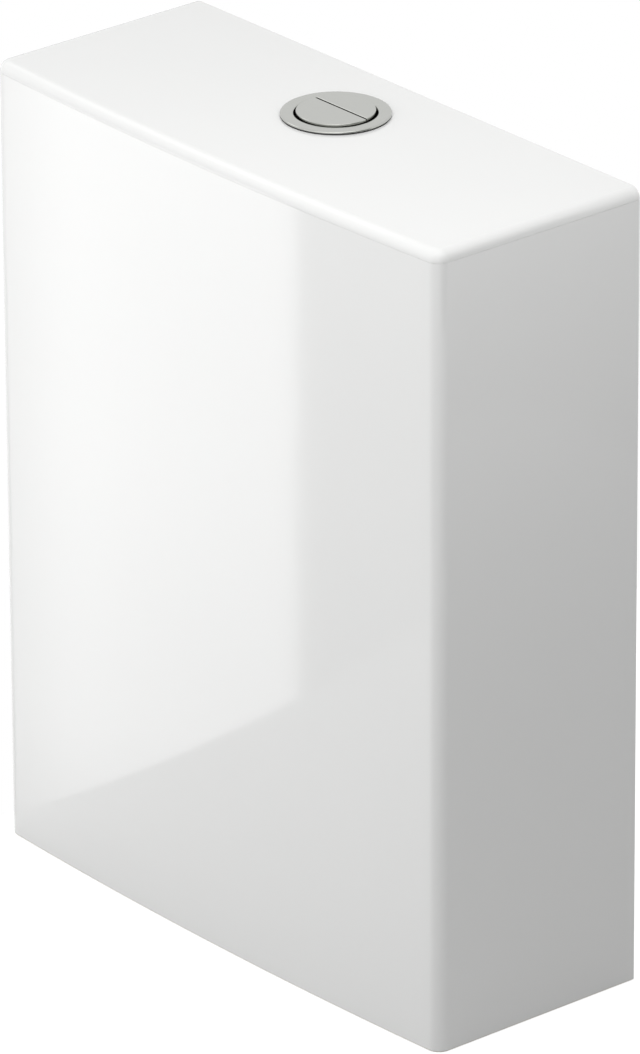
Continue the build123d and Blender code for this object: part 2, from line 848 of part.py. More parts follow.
def float_lever():
    """Arm that the float turns, with a slot for the link rod."""
    end = lever_arm + lever_end_reach
    arm = block((0, end), both_ways(lever_w / 2), both_ways(lever_t / 2))
    arm += depth_bar(lever_hub_r, both_ways(lever_w / 2), 0, 0)
    arm -= depth_bar(lever_pin_r + run_gap, both_ways(lever_w), 0, 0)
    arm -= block(about(lever_arm, lever_slot_l), both_ways(lever_slot_w / 2), both_ways(lever_t))
    return Pos(lever_x, valve_y, lever_z) * Rot(0, lever_tilt, 0) * arm


def float_cup():
    """Ring float around the silencer tube, open underneath, with a lug for its link."""
    high = cup_low + cup_h
    bore = sleeve_r + cup_gap
    cup = bar(cup_r, cup_low, high) - bar(cup_r - cup_t, cup_low - overrun, high - cup_t)
    cup += bar(bore + cup_t, cup_low, high)
    lug_x = link_x - inlet_x
    lug_span = (high - 2 * cup_t, high)
    cup += bar(cup_lug_r, *lug_span, lug_x, 0)
    cup += block((cup_r - cup_t, lug_x), both_ways(cup_lug_r), lug_span)
    cup -= bar(bore, cup_low - overrun, high + overrun)
    return Pos(inlet_x, valve_y, 0) * cup


def link_rod():
    """Rod from the float's lug through the lever, with a collar on each side."""
    low = cup_low + cup_h
    reach = lever_t / 2 + link_gap
    rod = bar(link_r, low, link_z + reach + link_collar_t + link_tip)
    for side in (-1, 1):
        near = link_z + side * reach
        far = near + side * link_collar_t
        rod += bar(link_collar_r, min(near, far), max(near, far))
    rod += bar(link_collar_r, low, low + link_collar_t)
    return Pos(link_x, valve_y, 0) * rod


# Fixings to the pan and the second inlet's plug

def at_both_bolts(make):
    """One piece at each coupling bolt, as a group of two solids."""
    return fused([Pos(side * bolt_spacing / 2, valve_y, 0) * make() for side in (-1, 1)])


def coupling_bolts():
    """Two hexagon-headed bolts that stand out under the floor."""
    bolt_top = floor_z + bolt_seal_t + bolt_washer_t
    free_top = floor_low - bolt_seal_t - bolt_washer_t - wing_h - free_end_gap

    def bolt():
        thread = bar(bolt_r, bolt_low, free_top)
        thread = chamfer(thread.edges().sort_by(Axis.Z)[0], bolt_tip)
        head = hex_bar(bolt_head_flats, bolt_top, bolt_top + bolt_head_h, 0, 0)
        return thread + bar(bolt_core_r, free_top, bolt_top) + head

    return at_both_bolts(bolt)


def bolt_washers(radius, low, thickness):
    """One washer on each coupling bolt."""
    return at_both_bolts(lambda: sleeve(radius, bolt_core_r + thread_gap, low, low + thickness))


def wing_nuts():
    """Two wing nuts, with their wings front and back."""
    high = floor_low - bolt_seal_t - bolt_washer_t
    low = high - wing_hub_h

    def nut():
        hub = bar(wing_hub_r, low, high)
        wings = block(about(0, wing_t), both_ways(wing_reach), (high - wing_h, high - wing_t))
        tips = wings.edges().filter_by(Axis.X).group_by(Axis.Z)[0]
        wings = fillet(tips, wing_edge_r)
        return hub + wings - bar(bolt_core_r + thread_gap, low - wing_h, high + overrun)

    return at_both_bolts(nut)


def blanking_plug():
    """Plug that closes the second inlet hole."""
    return Pos(-inlet_x, valve_y, 0) * inlet_tail(plug_low)


full_rod_place = (-rod_x, full_rod_y)
half_rod_place = (rod_x, half_rod_y)
upper_seal_top = floor_z + bolt_seal_t
lower_seal_low = floor_low - bolt_seal_t

pieces = {
    "tank": tank(),
    "lid": lid(),
    "lid_pads": lid_pads(),
    "bezel_gasket": bezel_gasket(),
    "button_bezel": button_bezel(),
    "lid_lock_nut": lid_lock_nut(),
    "button_guide": button_guide(),
    "full_flush_button": flush_button(True, full_proud, full_rod_place),
    "half_flush_button": flush_button(False, half_proud, half_rod_place),
    "full_button_spring": button_spring(full_proud, full_rod_place),
    "half_button_spring": button_spring(half_proud, half_rod_place),
    "full_push_rod": push_rod(full_proud, full_rod_place),
    "half_push_rod": push_rod(half_proud, half_rod_place),
    "flush_valve_base": flush_valve_base(),
    "base_seal_washer": base_seal_washer(),
    "back_nut": back_nut(),
    "doughnut_gasket": doughnut_gasket(),
    "valve_cage": valve_cage(),
    "height_rails": height_rails(),
    "actuator_bridge": actuator_bridge(),
    "rocker_pin": rocker_pin(),
    "full_rocker": rocker(-rod_x, -1),
    "half_rocker": rocker(rod_x, 1),
    "overflow_tube": overflow_tube(),
    "valve_seal": valve_seal(),
    "seal_retainer": seal_retainer(),
    "full_float": full_float(),
    "full_lift_yoke": lift_yoke(1, yoke_low, tube_r + slide_gap),
    "half_lift_yoke": lift_yoke(-1, yoke_low + yoke_h + rest_gap, tube_r + thread_gap),
    "half_float": half_float(),
    "inlet_shank": inlet_shank(),
    "shank_washer": inlet_washer(1),
    "shank_nut": inlet_nut(1),
    "inlet_filter": inlet_filter(),
    "riser_tube": riser_tube(),
    "riser_clamp": riser_clamp(),
    "silencer_tube": silencer_tube(),
    "valve_head": valve_head(),
    "diaphragm": diaphragm(),
    "head_cap": head_cap(),
    "float_lever": float_lever(),
    "lever_pin": lever_pin(),
    "float_cup": float_cup(),
    "link_rod": link_rod(),
    "coupling_bolts": coupling_bolts(),
    "bolt_seal_washers": bolt_washers(bolt_seal_r, floor_z, bolt_seal_t),
    "bolt_upper_washers": bolt_washers(bolt_washer_r, upper_seal_top, bolt_washer_t),
    "bolt_lower_seals": bolt_washers(bolt_seal_r, lower_seal_low, bolt_seal_t),
    "bolt_lower_washers": bolt_washers(bolt_washer_r, lower_seal_low - bolt_washer_t, bolt_washer_t),
    "wing_nuts": wing_nuts(),
    "blanking_plug": blanking_plug(),
    "plug_washer": inlet_washer(-1),
    "plug_nut": inlet_nut(-1),
}

os.makedirs("parts", exist_ok=True)
for name, piece in pieces.items():
    export_step(piece, f"parts/{name}.step")
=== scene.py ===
import json
import math

import bmesh
import bpy
from mathutils import Matrix, Vector

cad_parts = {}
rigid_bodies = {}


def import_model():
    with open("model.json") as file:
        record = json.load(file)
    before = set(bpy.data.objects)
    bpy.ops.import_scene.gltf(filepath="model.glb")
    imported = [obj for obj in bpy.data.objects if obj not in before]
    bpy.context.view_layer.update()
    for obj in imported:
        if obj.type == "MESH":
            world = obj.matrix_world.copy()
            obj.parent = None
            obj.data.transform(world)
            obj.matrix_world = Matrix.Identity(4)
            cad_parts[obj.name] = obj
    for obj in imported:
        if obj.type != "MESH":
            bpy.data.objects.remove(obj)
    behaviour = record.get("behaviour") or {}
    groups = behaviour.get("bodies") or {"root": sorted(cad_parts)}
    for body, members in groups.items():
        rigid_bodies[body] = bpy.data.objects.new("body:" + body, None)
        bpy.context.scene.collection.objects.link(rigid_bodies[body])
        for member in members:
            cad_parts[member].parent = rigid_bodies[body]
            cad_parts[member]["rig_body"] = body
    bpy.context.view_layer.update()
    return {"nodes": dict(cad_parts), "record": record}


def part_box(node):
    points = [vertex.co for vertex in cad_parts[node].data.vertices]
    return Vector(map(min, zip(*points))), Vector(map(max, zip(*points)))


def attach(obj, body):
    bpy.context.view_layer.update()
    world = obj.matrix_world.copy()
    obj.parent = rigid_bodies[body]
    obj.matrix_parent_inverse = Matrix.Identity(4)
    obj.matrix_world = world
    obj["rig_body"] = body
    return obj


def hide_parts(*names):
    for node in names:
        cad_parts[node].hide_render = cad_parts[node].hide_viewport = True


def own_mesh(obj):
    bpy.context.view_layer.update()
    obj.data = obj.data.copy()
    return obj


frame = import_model()
slots = {part["node"]: part["material_slot"] for part in frame["record"]["subparts"]}

# Sizes of the ceramic, in metres
MM = 0.001
FRONT_BOW = 6.0 * MM
CORNER_R = 8.0 * MM
INNER_CORNER_R = 12.0 * MM
TOP_EDGE_R = 6.5 * MM
WALL = 9.5 * MM
FLOOR_LOW = 52.0 * MM
FLOOR_T = 12.0 * MM
FLOOR_FILLET = 8.0 * MM
RIM_EDGE_R = 1.5 * MM
BASE_EDGE_R = 1.0 * MM
SEAM_EDGE_R = 0.12 * MM
SEAM_GAP = 0.08 * MM
LID_FIT = 2.0 * MM
LID_STEP_T = 3.5 * MM
LID_RIB_H = 6.5 * MM
LID_RIB_T = 7.0 * MM
LID_HOLE_GAP = 1.0 * MM
PAD_R = 3.0 * MM
PAD_GAP = 0.3 * MM
PAD_SEAT_T = 1.2 * MM
OUTLET_HOLE_R = 31.8 * MM
BOLT_HOLE_R = 5.0 * MM
BOLT_X = 75.0 * MM
INLET_HOLE_R = 12.5 * MM
WALL_HOLE_R = 4.5 * MM
WALL_HOLE_X = 110.0 * MM
WALL_HOLE_Z = 430.0 * MM
OVERRUN = 2.0 * MM

# Sizes of the button
BEZEL_EDGE_R = 0.85 * MM
BEZEL_BORE_EDGE_R = 1.0 * MM
BUTTON_EDGE_R = 1.0 * MM
BUTTON_GAP = 1.2 * MM
BUTTON_TOP_T = 2.0 * MM
BUTTON_SKIRT_T = 1.4 * MM
SOCKET_R = 4.8 * MM
SOCKET_H = 7.0 * MM
ROD_HOLD = 5.0 * MM
ROD_GAP = 0.15 * MM
SOCKET_EDGE_R = 0.4 * MM
OVERLAP = 0.5 * MM
SPRING_TURNS = 5
SPRING_WIRE_R = 0.5 * MM

# Screw threads
BOLT_R = 4.0 * MM
BOLT_THREAD = 0.65 * MM
BOLT_PITCH = 1.25 * MM
TAIL_R = 29.8 * MM
TAIL_PITCH = 3.0 * MM
SHANK_R = 10.5 * MM
SHANK_PITCH = 1.8 * MM
NECK_PITCH = 2.0 * MM
ROD_R = 3.0 * MM
ROD_PITCH = 2.0 * MM
THREAD_LEAD = 1.0 * MM
THREAD_SHARE = 0.3
THREAD_OPEN_SHARE = 0.9
THREAD_CLEAR_SHARE = 0.25

# How finely round shapes are divided
THREAD_STEPS = 28
ROD_THREAD_STEPS = 12
BOW_STEPS = 40
TURN_STEPS = 96
HOLE_STEPS = 48
SPRING_STEPS = 28
WIRE_SIDES = 8
CORNER_STEPS = 10
INNER_CORNER_STEPS = 8
FILLET_STEPS = 5
RIM_STEPS = 4
FINE_STEPS = 3
BEZEL_EDGE_STEPS = 8
BORE_EDGE_STEPS = 4
BUTTON_EDGE_STEPS = 5

# Directions, and how close things are to count as the same
UP = Vector((0, 0, 1))
DOWN = Vector((0, 0, -1))
FACING = 0.9
NEAR = 0.01 * MM
MERGE = 0.001 * MM
SMOOTH_ANGLE = math.radians(38)
FOLD_ANGLE = math.radians(45)

# Glaze: patterns in clouds to a metre, and the bare clay of the foot
GLAZE_CLOUDS = 7.0
GLAZE_WAVES = 22.0
GLAZE_WAVE_SHARE = 0.7
GLAZE_PORES = 260.0
GLAZE_PORE_SHARE = 0.02
GLAZE_BUMP = 0.12
GLAZE_DEPTH = 0.6 * MM
GLAZE_ROUGHNESS = 0.045
GLAZE_ROUGHER = 0.05
GLAZE_IOR = 1.5
GLAZE_WHITE = (0.85, 0.853, 0.845, 1)
GLAZE_PALER = (0.87, 0.872, 0.864, 1)
CLAY_COLOUR = (0.72, 0.68, 0.6, 1)
CLAY_ROUGHER = 0.7
CLAY_LOW = 0.4 * MM
CLAY_HIGH = 1.2 * MM

# Satin metal
SATIN_GRAIN = 9000.0
SATIN_GRAIN_DETAIL = 4.0
SATIN_CLOUDS = 60.0
SATIN_COLOUR = (0.482, 0.487, 0.464, 1)
SATIN_PALER = (0.502, 0.508, 0.485, 1)
SATIN_ROUGHNESS = 0.13
SATIN_ROUGHER = 0.08
SATIN_BUMP = 0.08
SATIN_DEPTH = 0.04 * MM

# Drawn or turned metal
DRAWN_LINES = (400, 400, 9000)
DRAWN_CLOUDS = 90.0
DRAWN_DARKER = 0.82
DRAWN_ROUGHER = 0.14
DRAWN_BUMP = 0.12
DRAWN_DEPTH = 0.05 * MM

# Rubber, foam and plastic
RUBBER_GRAIN = 1500.0
RUBBER_DARKER = 0.8
RUBBER_PALER = 1.3
RUBBER_ROUGHNESS = 0.55
RUBBER_ROUGHER = 0.25
RUBBER_BUMP = 0.3
RUBBER_DEPTH = 0.1 * MM
FOAM_PORES = 700.0
FOAM_PORE_EDGE = (0.1, 0.5)
# Foam colour at the bottom of each pore is painted shade; the paler grey is the foam's own
FOAM_PORE_PAINTED_SHADE = 0.02
FOAM_PALE = 0.075
FOAM_ROUGHNESS = 0.95
FOAM_BUMP = 0.8
FOAM_DEPTH = 0.4 * MM
PLASTIC_CLOUDS = 35.0
PLASTIC_DARKER = 0.93
PLASTIC_GRAIN = 2600.0
PLASTIC_ROUGHER = 0.12
PLASTIC_IOR = 1.49
PLASTIC_BUMP = 0.15
PLASTIC_DEPTH = 0.06 * MM
GRAIN_DETAIL = 3.0

# Camera, from the photograph's own perspective
VIEW_AZIMUTH = math.radians(50.05)
VIEW_ELEVATION = math.radians(23.812)
VIEW_ROLL = math.radians(-0.323)
VIEW_DISTANCE = 6.245
AIM_RIGHT = -0.05488
AIM_UP = -0.02444
LENS = 359.6
SENSOR_WIDTH = 36.0

# Sky and floor: strengths are radiances
SKY_HIGH = 0.63
SKY_LOW = 0.56
SKY_EDGE = (-0.25, 0.2)
FLOOR_SPAN = ((-0.22, -0.8), (0.9, 0.6))
FLOOR_DROP = 0.2 * MM
FLOOR_SHADE = 0.5
FLOOR_ROUGHNESS = 0.9
FLOOR_WHITE = 0.8

# Softbox: its place, its levels and how its glow fades, in metres and in shares of its radiance
SOFTBOX = 3.05
BOX_EDGE_X = 0.08
BOX_AZIMUTH = math.radians(47.3)
BOX_TURN = math.radians(135.0)
BOX_DISTANCE = 1.2
BOX_WIDTH = 0.8
BOX_LEVELS = (-0.55, 0.15, 0.9)
BOX_FOOT_SHARE = 0.5
BOX_RISES = ((-0.53, -0.38, 0.35), (-0.42, -0.15, 0.15))
BOX_FAR_SHARE = 0.25
BOX_FAR_EDGE = (-1.15, -1.0)

# Smaller cards: corners in metres, radiance, and whether gloss mirrors the card
CARDS = {
    "overhead": (
        ((-0.1, -0.9, 1.5), (1.3, -0.9, 1.5), (1.3, 0.3, 1.5), (-0.1, 0.3, 1.5)),
        1.71, True),
    "top_left": (
        ((-1.15, -0.55, 1.25), (-1.15, 0.15, 1.25), (-0.8, 0.15, 1.55), (-0.8, -0.55, 1.55)),
        1.8, True),
    "front_wide": (
        ((0.0, -1.0, 0.5), (0.9, -1.0, 0.5), (0.9, -0.8, 1.05), (0.0, -0.8, 1.05)),
        1.43, False),
    "right_upper": (
        ((0.65, -0.4, 0.5), (0.65, 0.3, 0.5), (0.5, 0.3, 0.85), (0.5, -0.4, 0.85)),
        0.87, False),
    "front_upper": (
        ((-0.25, -0.7, 0.55), (0.45, -0.7, 0.55), (0.45, -0.5, 1.0), (-0.25, -0.5, 1.0)),
        1.19, True),
    "back_grey": (
        ((-1.15, 0.35, 0.1), (-0.45, 1.1, 0.1), (-0.45, 1.1, 0.7), (-1.15, 0.35, 0.7)),
        0.78, True),
    "right_flag": (
        ((0.8, -0.35, 0.2), (0.8, 0.45, 0.2), (0.65, 0.45, 0.85), (0.65, -0.35, 0.85)),
        0.0, True),
}


# Shader values and finishes

class Value:
    """A number that varies over a surface. Sums of values add their own Math nodes."""

    def __init__(self, finish, socket):
        self.finish = finish
        self.socket = socket

    def maths(self, operation, first, second):
        return self.finish.node("ShaderNodeMath", {"operation": operation}, {0: first, 1: second})

    def __add__(self, other):
        return self.maths("ADD", self, other)

    def __radd__(self, other):
        return self.maths("ADD", other, self)

    def __sub__(self, other):
        return self.maths("SUBTRACT", self, other)

    def __rsub__(self, other):
        return self.maths("SUBTRACT", other, self)

    def __mul__(self, other):
        return self.maths("MULTIPLY", self, other)

    def __rmul__(self, other):
        return self.maths("MULTIPLY", other, self)

    def above(self, low, high):
        """0 under the low value, 1 over the high one, smooth between."""
        settings = {"interpolation_type": "SMOOTHSTEP"}
        inputs = {"Value": self, "From Min": low, "From Max": high}
        return self.finish.node("ShaderNodeMapRange", settings, inputs)


class Finish:
    """One material or world: its node tree, its shader and the values that feed it."""

    def __init__(self, owner, shader="Principled BSDF", coordinates="Object"):
        owner.use_nodes = True
        self.material = owner
        self.tree = owner.node_tree
        self.shader = self.tree.nodes[shader]
        self.place = self.node("ShaderNodeTexCoord", output=coordinates)

    def node(self, kind, settings=None, inputs=None, output=0):
        """Adds a node: its settings first, then the values or links of its sockets."""
        made = self.tree.nodes.new(kind)
        for name, value in (settings or {}).items():
            setattr(made, name, value)
        for key, value in (inputs or {}).items():
            self.feed(made.inputs[key], value)
        return Value(self, made.outputs[output])

    def feed(self, socket, value):
        """Links a varying value to a socket, or sets a plain one."""
        if isinstance(value, Value):
            self.tree.links.new(value.socket, socket)
        else:
            socket.default_value = value

    def set(self, **inputs):
        """Sets sockets of the shader; names use _ for a space."""
        for name, value in inputs.items():
            self.feed(self.shader.inputs[name.replace("_", " ")], value)

    def stretched(self, scale):
        """The surface's own place, stretched along each axis."""
        return self.node("ShaderNodeMapping", {}, {"Vector": self.place, "Scale": scale})

    def noise(self, scale, detail=2.0, place=None):
        """Cloudy pattern from 0 to 1, with so many clouds to a metre."""
        inputs = {"Vector": place or self.place, "Scale": scale, "Detail": detail}
        return self.node("ShaderNodeTexNoise", {"noise_dimensions": "3D"}, inputs)

    def along(self, axis):
        """One coordinate of the surface, in metres."""
        return self.node("ShaderNodeSeparateXYZ", {}, {0: self.place}, axis)

    def seen(self):
        """1 where the camera, or the object's gloss or glass, looks at it, and 0 for its light."""
        rays = self.tree.nodes.new("ShaderNodeLightPath").outputs
        camera_ray = Value(self, rays["Is Camera Ray"])
        glossy_ray = Value(self, rays["Is Glossy Ray"])
        glass_ray = Value(self, rays["Is Transmission Ray"])
        return camera_ray + glossy_ray + glass_ray

    def mixed(self, factor, first, second):
        """Blend of two colours, whose sockets on the Mix node are 6 and 7 and come out of 2."""
        settings = {"data_type": "RGBA"}
        return self.node("ShaderNodeMix", settings, {0: factor, 6: first, 7: second}, 2)

    def bump(self, height, strength, distance):
        """Raises the surface by a height that varies."""
        inputs = {"Height": height, "Strength": strength, "Distance": distance}
        self.set(Normal=self.node("ShaderNodeBump", {}, inputs))


def surface(name):
    """New finish for a material of this name."""
    return Finish(bpy.data.materials.new(name))


def grey(value):
    """Neutral colour."""
    return (value, value, value, 1.0)


def darkened(colour, share):
    """A colour at a share of its brightness."""
    return tuple(share * part for part in colour) + (1,)


def glaze():
    """White glaze: a deep gloss over a faintly wavy body, bare and dull on the foot."""
    finish = surface("white_glaze")
    foot = 1 - finish.along("Z").above(CLAY_LOW, CLAY_HIGH)
    cloud = finish.noise(GLAZE_CLOUDS)
    body = finish.mixed(cloud, GLAZE_WHITE, GLAZE_PALER)
    finish.set(Base_Color=finish.mixed(foot, body, CLAY_COLOUR))
    finish.set(Roughness=GLAZE_ROUGHNESS + cloud * GLAZE_ROUGHER + foot * CLAY_ROUGHER)
    finish.set(IOR=GLAZE_IOR, Coat_Weight=0.0)
    waves = finish.noise(GLAZE_WAVES) * GLAZE_WAVE_SHARE
    pores = finish.noise(GLAZE_PORES) * GLAZE_PORE_SHARE
    finish.bump(waves + pores, GLAZE_BUMP, GLAZE_DEPTH)
    return finish.material


def satin_metal():
    """Satin plated metal: fine grain and a soft sheen."""
    finish = surface("satin_metal")
    grain = finish.noise(SATIN_GRAIN, SATIN_GRAIN_DETAIL)
    cloud = finish.noise(SATIN_CLOUDS)
    finish.set(Base_Color=finish.mixed(cloud, SATIN_COLOUR, SATIN_PALER), Metallic=1.0)
    finish.set(Roughness=SATIN_ROUGHNESS + grain * SATIN_ROUGHER)
    finish.bump(grain, SATIN_BUMP, SATIN_DEPTH)
    return finish.material


def rubber(name, shade):
    """Dull rubber with a fine grain."""
    finish = surface(name)
    grain = finish.noise(RUBBER_GRAIN, GRAIN_DETAIL)
    dark, pale = grey(shade * RUBBER_DARKER), grey(shade * RUBBER_PALER)
    finish.set(Base_Color=finish.mixed(grain, dark, pale))
    finish.set(Roughness=RUBBER_ROUGHNESS + grain * RUBBER_ROUGHER)
    finish.bump(grain, RUBBER_BUMP, RUBBER_DEPTH)
    return finish.material


def foam():
    """Open-pored grey foam, with painted shade darkening the bottom of each pore."""
    finish = surface("grey_foam")
    inputs = {"Vector": finish.place, "Scale": FOAM_PORES}
    pores = finish.node("ShaderNodeTexVoronoi", {"feature": "F1"}, inputs)
    depth = pores.above(*FOAM_PORE_EDGE)
    # Painted shade: darker towards the bottom of each pore, by the same mask that sinks it in the
    # bump
    colour = finish.mixed(depth, grey(FOAM_PORE_PAINTED_SHADE), grey(FOAM_PALE))
    finish.set(Base_Color=colour, Roughness=FOAM_ROUGHNESS)
    finish.bump(depth, FOAM_BUMP, FOAM_DEPTH)
    return finish.material


def moulded_plastic(name, colour, gloss):
    """Moulded plastic: a soft spark-eroded grain and slight flow clouds."""
    finish = surface(name)
    cloud = finish.noise(PLASTIC_CLOUDS)
    finish.set(Base_Color=finish.mixed(cloud, colour + (1,), darkened(colour, PLASTIC_DARKER)))
    grain = finish.noise(PLASTIC_GRAIN, GRAIN_DETAIL)
    finish.set(Roughness=gloss + grain * PLASTIC_ROUGHER, IOR=PLASTIC_IOR)
    finish.bump(grain, PLASTIC_BUMP, PLASTIC_DEPTH)
    return finish.material


def drawn_metal(name, colour, roughness):
    """Turned or drawn metal with fine lines around and faint stains."""
    finish = surface(name)
    lines = finish.noise(1.0, place=finish.stretched(DRAWN_LINES))
    cloud = finish.noise(DRAWN_CLOUDS)
    stained = finish.mixed(cloud, colour + (1,), darkened(colour, DRAWN_DARKER))
    finish.set(Base_Color=stained, Metallic=1.0)
    finish.set(Roughness=roughness + lines * DRAWN_ROUGHER)
    finish.bump(lines, DRAWN_BUMP, DRAWN_DEPTH)
    return finish.material


FINISHES = {
    "glaze": glaze(),
    "satin_metal": satin_metal(),
    "black_rubber": rubber("black_rubber", 0.018),
    "grey_foam": foam(),
    "white_plastic": moulded_plastic("white_plastic", (0.8, 0.8, 0.775), 0.28),
    "grey_plastic": moulded_plastic("grey_plastic", (0.3, 0.31, 0.32), 0.4),
    "blue_plastic": moulded_plastic("blue_plastic", (0.05, 0.17, 0.42), 0.3),
    "clear_silicone": moulded_plastic("clear_silicone", (0.7, 0.7, 0.66), 0.35),
    "stainless_steel": drawn_metal("stainless_steel", (0.6, 0.6, 0.585), 0.22),
    "brass": drawn_metal("turned_brass", (0.74, 0.56, 0.27), 0.2),
}


# Mesh helpers

def add_object(name, mesh):
    """Links a mesh into the scene as an object."""
    made = bpy.data.objects.new(name, mesh)
    bpy.context.scene.collection.objects.link(made)
    return made


def shaded(mesh):
    """Smooth shading, with creases where a mesh folds sharply."""
    mesh.polygons.foreach_set("use_smooth", [True] * len(mesh.polygons))
    mesh.set_sharp_from_angle(angle=SMOOTH_ANGLE)
    return mesh


def mesh_of(name, form):
    """Merges a form's doubles, turns its faces outwards and makes a smooth mesh of it."""
    bmesh.ops.remove_doubles(form, verts=form.verts, dist=MERGE)
    bmesh.ops.recalc_face_normals(form, faces=form.faces)
    mesh = bpy.data.meshes.new(name)
    form.to_mesh(mesh)
    form.free()
    return shaded(mesh)


def piece(name, mesh, node):
    """A finished piece that stands for a CAD node, with that node's body and slot."""
    made = add_object(name, mesh)
    mesh.materials.clear()
    mesh.materials.append(FINISHES[slots[node]])
    normals = made.modifiers.new("flat faces stay flat", "WEIGHTED_NORMAL")
    normals.keep_sharp = True
    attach(made, frame["nodes"][node]["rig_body"])
    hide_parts(node)
    return made


def bevelled(form, edges, radius, segments):
    """Rounds edges of a form."""
    bmesh.ops.bevel(form, geom=edges, offset=radius, offset_type="OFFSET", affect="EDGES",
                    segments=segments, profile=0.5, material=-1, clamp_overlap=True)


def edges_where(form, test):
    """Edges whose two ends both pass a test."""
    return [edge for edge in form.edges if all(test(vert.co) for vert in edge.verts)]


def folds(edges):
    """Those edges where a form folds sharply."""
    return [edge for edge in edges if edge.calc_face_angle(0) > FOLD_ANGLE]


def near(first, second):
    """Whether two lengths agree to a hundredth of a millimetre."""
    return abs(first - second) < NEAR


def upright(form):
    """Vertical edges of a form."""
    ends = [(edge, edge.verts[0].co, edge.verts[1].co) for edge in form.edges]
    return [edge for edge, low, high in ends if near(low.x, high.x) and near(low.y, high.y)]


def faces_facing(form, way, height=None):
    """Faces that look along a direction, at one height if it is given."""
    found = [face for face in form.faces if face.normal.dot(way) > FACING]
    if height is None:
        return found
    return [face for face in found if near(face.calc_center_median().z, height)]


def raised(form, faces, shift):
    """Extrudes a region of faces along a vector and returns all that was made."""
    made = bmesh.ops.extrude_face_region(form, geom=faces)["geom"]
    moved = [item for item in made if isinstance(item, bmesh.types.BMVert)]
    bmesh.ops.translate(form, vec=shift, verts=moved)
    return made


def pushed(form, faces, shift):
    """Moves a region of faces along a vector, with new walls around it."""
    raised(form, faces, shift)
    bmesh.ops.delete(form, geom=faces, context="FACES_ONLY")


def inset(form, faces, thickness):
    """Draws a region of faces in and returns the inner faces."""
    bmesh.ops.inset_region(form, faces=faces, thickness=thickness, use_even_offset=True)
    return faces


def bowed_block(low, high):
    """Block with the cistern's plan: straight back and sides, bowed front."""
    form = bmesh.new()
    bmesh.ops.create_grid(form, x_segments=BOW_STEPS, y_segments=1, size=0.5)
    bmesh.ops.scale(form, vec=(high.x - low.x, high.y - low.y, 1), verts=form.verts)
    radius = (high.x ** 2 + FRONT_BOW ** 2) / (2 * FRONT_BOW)
    for vert in form.verts:
        if vert.co.y < 0:
            vert.co.y += radius - math.sqrt(radius ** 2 - vert.co.x ** 2)
    bmesh.ops.translate(form, vec=(0, 0, low.z), verts=form.verts)
    raised(form, list(form.faces), (0, 0, high.z - low.z))
    bmesh.ops.recalc_face_normals(form, faces=form.faces)
    return form


def corner_posts(form, half_x, front_only):
    """Upright edges at the plan's corners, at a given distance from the middle."""
    posts = [edge for edge in upright(form) if near(abs(edge.verts[0].co.x), half_x)]
    if front_only:
        posts = [edge for edge in posts if edge.verts[0].co.y < 0]
    return posts


def disc(radius, low, high, x=0.0, y=0.0, steps=HOLE_STEPS):
    """Round upright bar."""
    form = bmesh.new()
    bmesh.ops.create_cone(form, cap_ends=True, segments=steps, radius1=radius, radius2=radius,
                          depth=high - low)
    bmesh.ops.translate(form, vec=(x, y, (low + high) / 2), verts=form.verts)
    return form


def joined(forms):
    """Several forms as one."""
    whole = bmesh.new()
    for form in forms:
        mesh = bpy.data.meshes.new("part")
        form.to_mesh(mesh)
        form.free()
        whole.from_mesh(mesh)
        bpy.data.meshes.remove(mesh)
    return whole


def cut(mesh, cutters):
    """Cuts forms out of a mesh."""
    target = add_object("target", mesh)
    tool = add_object("tool", mesh_of("tool", joined(cutters)))
    modifier = target.modifiers.new("cut", "BOOLEAN")
    modifier.operation = "DIFFERENCE"
    modifier.solver = "EXACT"
    modifier.object = tool
    graph = bpy.context.evaluated_depsgraph_get()
    made = bpy.data.meshes.new_from_object(target.evaluated_get(graph))
    made.name = mesh.name
    for used in (target, tool):
        old = used.data
        bpy.data.objects.remove(used)
        bpy.data.meshes.remove(old)
    return shaded(made)


def turned(outline, x, y, steps=TURN_STEPS, closed=True):
    """Turns an outline of (radius, height) points about an upright axis."""
    form = bmesh.new()
    points = [form.verts.new((radius, 0, height)) for radius, height in outline]
    pairs = list(zip(points, points[1:])) + ([(points[-1], points[0])] if closed else [])
    edges = [form.edges.new(pair) for pair in pairs]
    bmesh.ops.spin(form, geom=points + edges, cent=(0, 0, 0), axis=(0, 0, 1), dvec=(0, 0, 0),
                   angle=2 * math.pi, steps=steps, use_merge=True, use_duplicate=False)
    bmesh.ops.remove_doubles(form, verts=form.verts, dist=MERGE)
    bmesh.ops.recalc_face_normals(form, faces=form.faces)
    bmesh.ops.translate(form, vec=(x, y, 0), verts=form.verts)
    return form


def ring_edges(form, radius, height, x, y):
    """Edges of a turned form that run around it at one radius and height."""
    def on_ring(point):
        return near(math.hypot(point.x - x, point.y - y), radius) and near(point.z, height)
    return edges_where(form, on_ring)


def coiled(profile, turns, climb, turn_steps, place):
    """Sweeps a closed outline of (radius, height) points up a helix about an upright axis."""
    form = bmesh.new()
    points = [form.verts.new((radius, 0, height)) for radius, height in profile]
    edges = [form.edges.new(pair) for pair in zip(points, points[1:] + points[:1])]
    form.faces.new(points)
    steps = round(turns * turn_steps)
    made = bmesh.ops.spin(form, geom=points + edges, cent=(0, 0, 0), axis=(0, 0, 1),
                          dvec=(0, 0, climb / steps), angle=2 * math.pi * turns, steps=steps,
                          use_merge=False, use_duplicate=False)
    form.faces.new([item for item in made["geom_last"] if isinstance(item, bmesh.types.BMVert)])
    bmesh.ops.recalc_face_normals(form, faces=form.faces)
    bmesh.ops.translate(form, vec=(place.x, place.y, 0), verts=form.verts)
    return form


